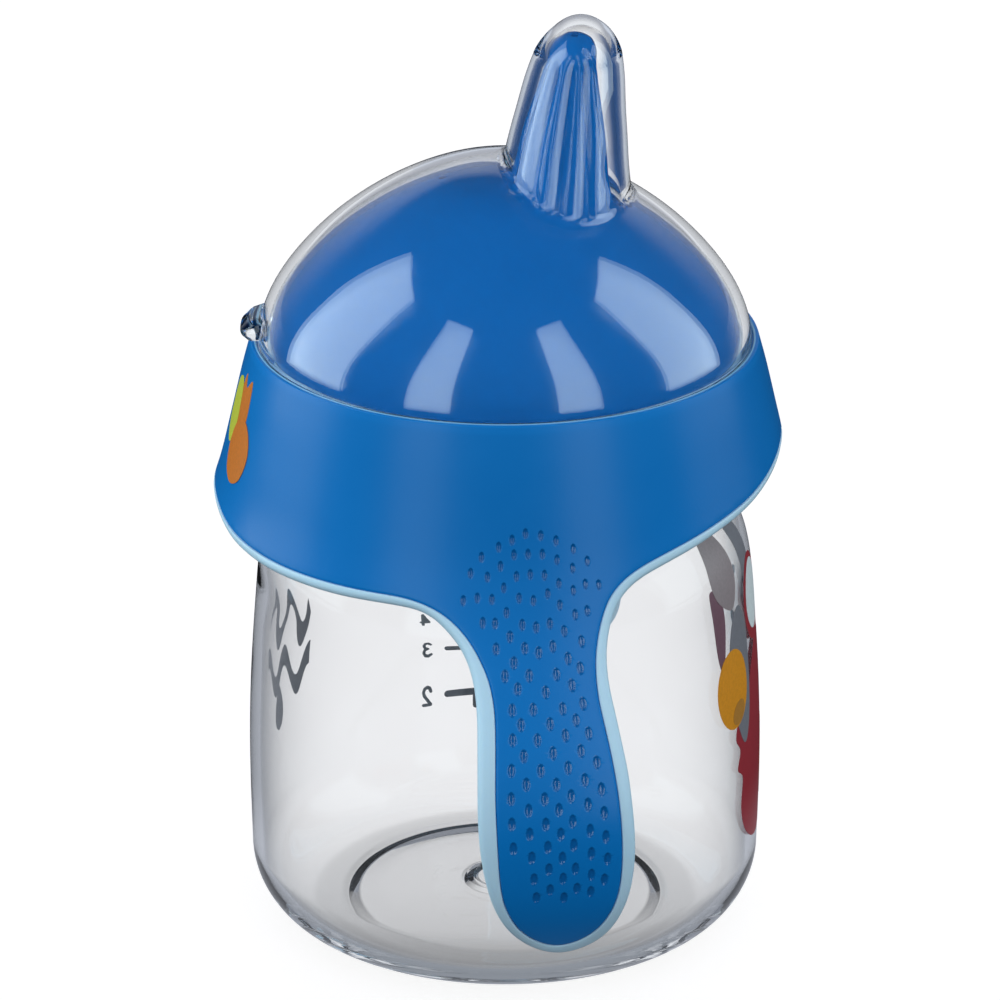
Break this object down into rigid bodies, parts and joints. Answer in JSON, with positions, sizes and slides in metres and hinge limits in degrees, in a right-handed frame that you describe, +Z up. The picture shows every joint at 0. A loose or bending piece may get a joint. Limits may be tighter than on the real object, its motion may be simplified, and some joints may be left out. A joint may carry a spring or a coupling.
{
  "type": "sippy cup",
  "caption": "Clear toddler cup with a screw collar and two soft-grip drop handles, a spouted dome with a no-spill valve, and a clear hygiene cap.",
  "frame": {"origin": "centre of the bottle's base, on the plane it stands on", "axes": "+Z up along the cup's axis, +X towards the side drunk from, the two handles at -Y and +Y"},
  "size_m": [0.0827, 0.1142, 0.1374],
  "materials": {
    "clear_bottle": "glossy clear copolyester",
    "clear_cap": "glossy clear plastic",
    "light_blue_frame": "satin moulded polypropylene",
    "blue_grip": "satin soft-touch elastomer",
    "blue_dome": "glossy moulded polypropylene",
    "valve_plastic": "satin moulded polypropylene",
    "silicone": "translucent silicone, satin"
  },
  "bodies": {
    "bottle": {"bottle": "clear_bottle"},
    "seal": {"neck_seal": "silicone"},
    "collar": {"handle_ring": "light_blue_frame", "soft_grip": "blue_grip"},
    "dome": {"spout_dome": "blue_dome"},
    "valve": {"valve_carrier": "valve_plastic", "valve_membrane": "silicone"},
    "cap": {"hygiene_cap": "clear_cap"}
  },
  "joints": [
    {"name": "lid_rise", "type": "slide", "parent": "bottle", "child": "seal", "axis": [0, 0, 1], "range_m": [0, 0.00687]},
    {"name": "lid_turn", "type": "hinge", "parent": "seal", "child": "collar", "pos_m": [0, 0, 0.078], "axis": [0, 0, 1], "range_deg": [0, 480]},
    {"name": "dome_lift", "type": "slide", "parent": "collar", "child": "dome", "axis": [0, 0, 1], "range_m": [0, 0.04]},
    {"name": "cap_lift", "type": "slide", "parent": "dome", "child": "cap", "axis": [0, 0, 1], "range_m": [0, 0.06]},
    {"name": "valve_pull", "type": "slide", "parent": "dome", "child": "valve", "axis": [0, 0, -1], "range_m": [0, 0.012]}
  ],
  "couplings": [
    {"joint": "lid_rise", "follows": "lid_turn", "m_per_rad": 0.00079577}
  ]
}
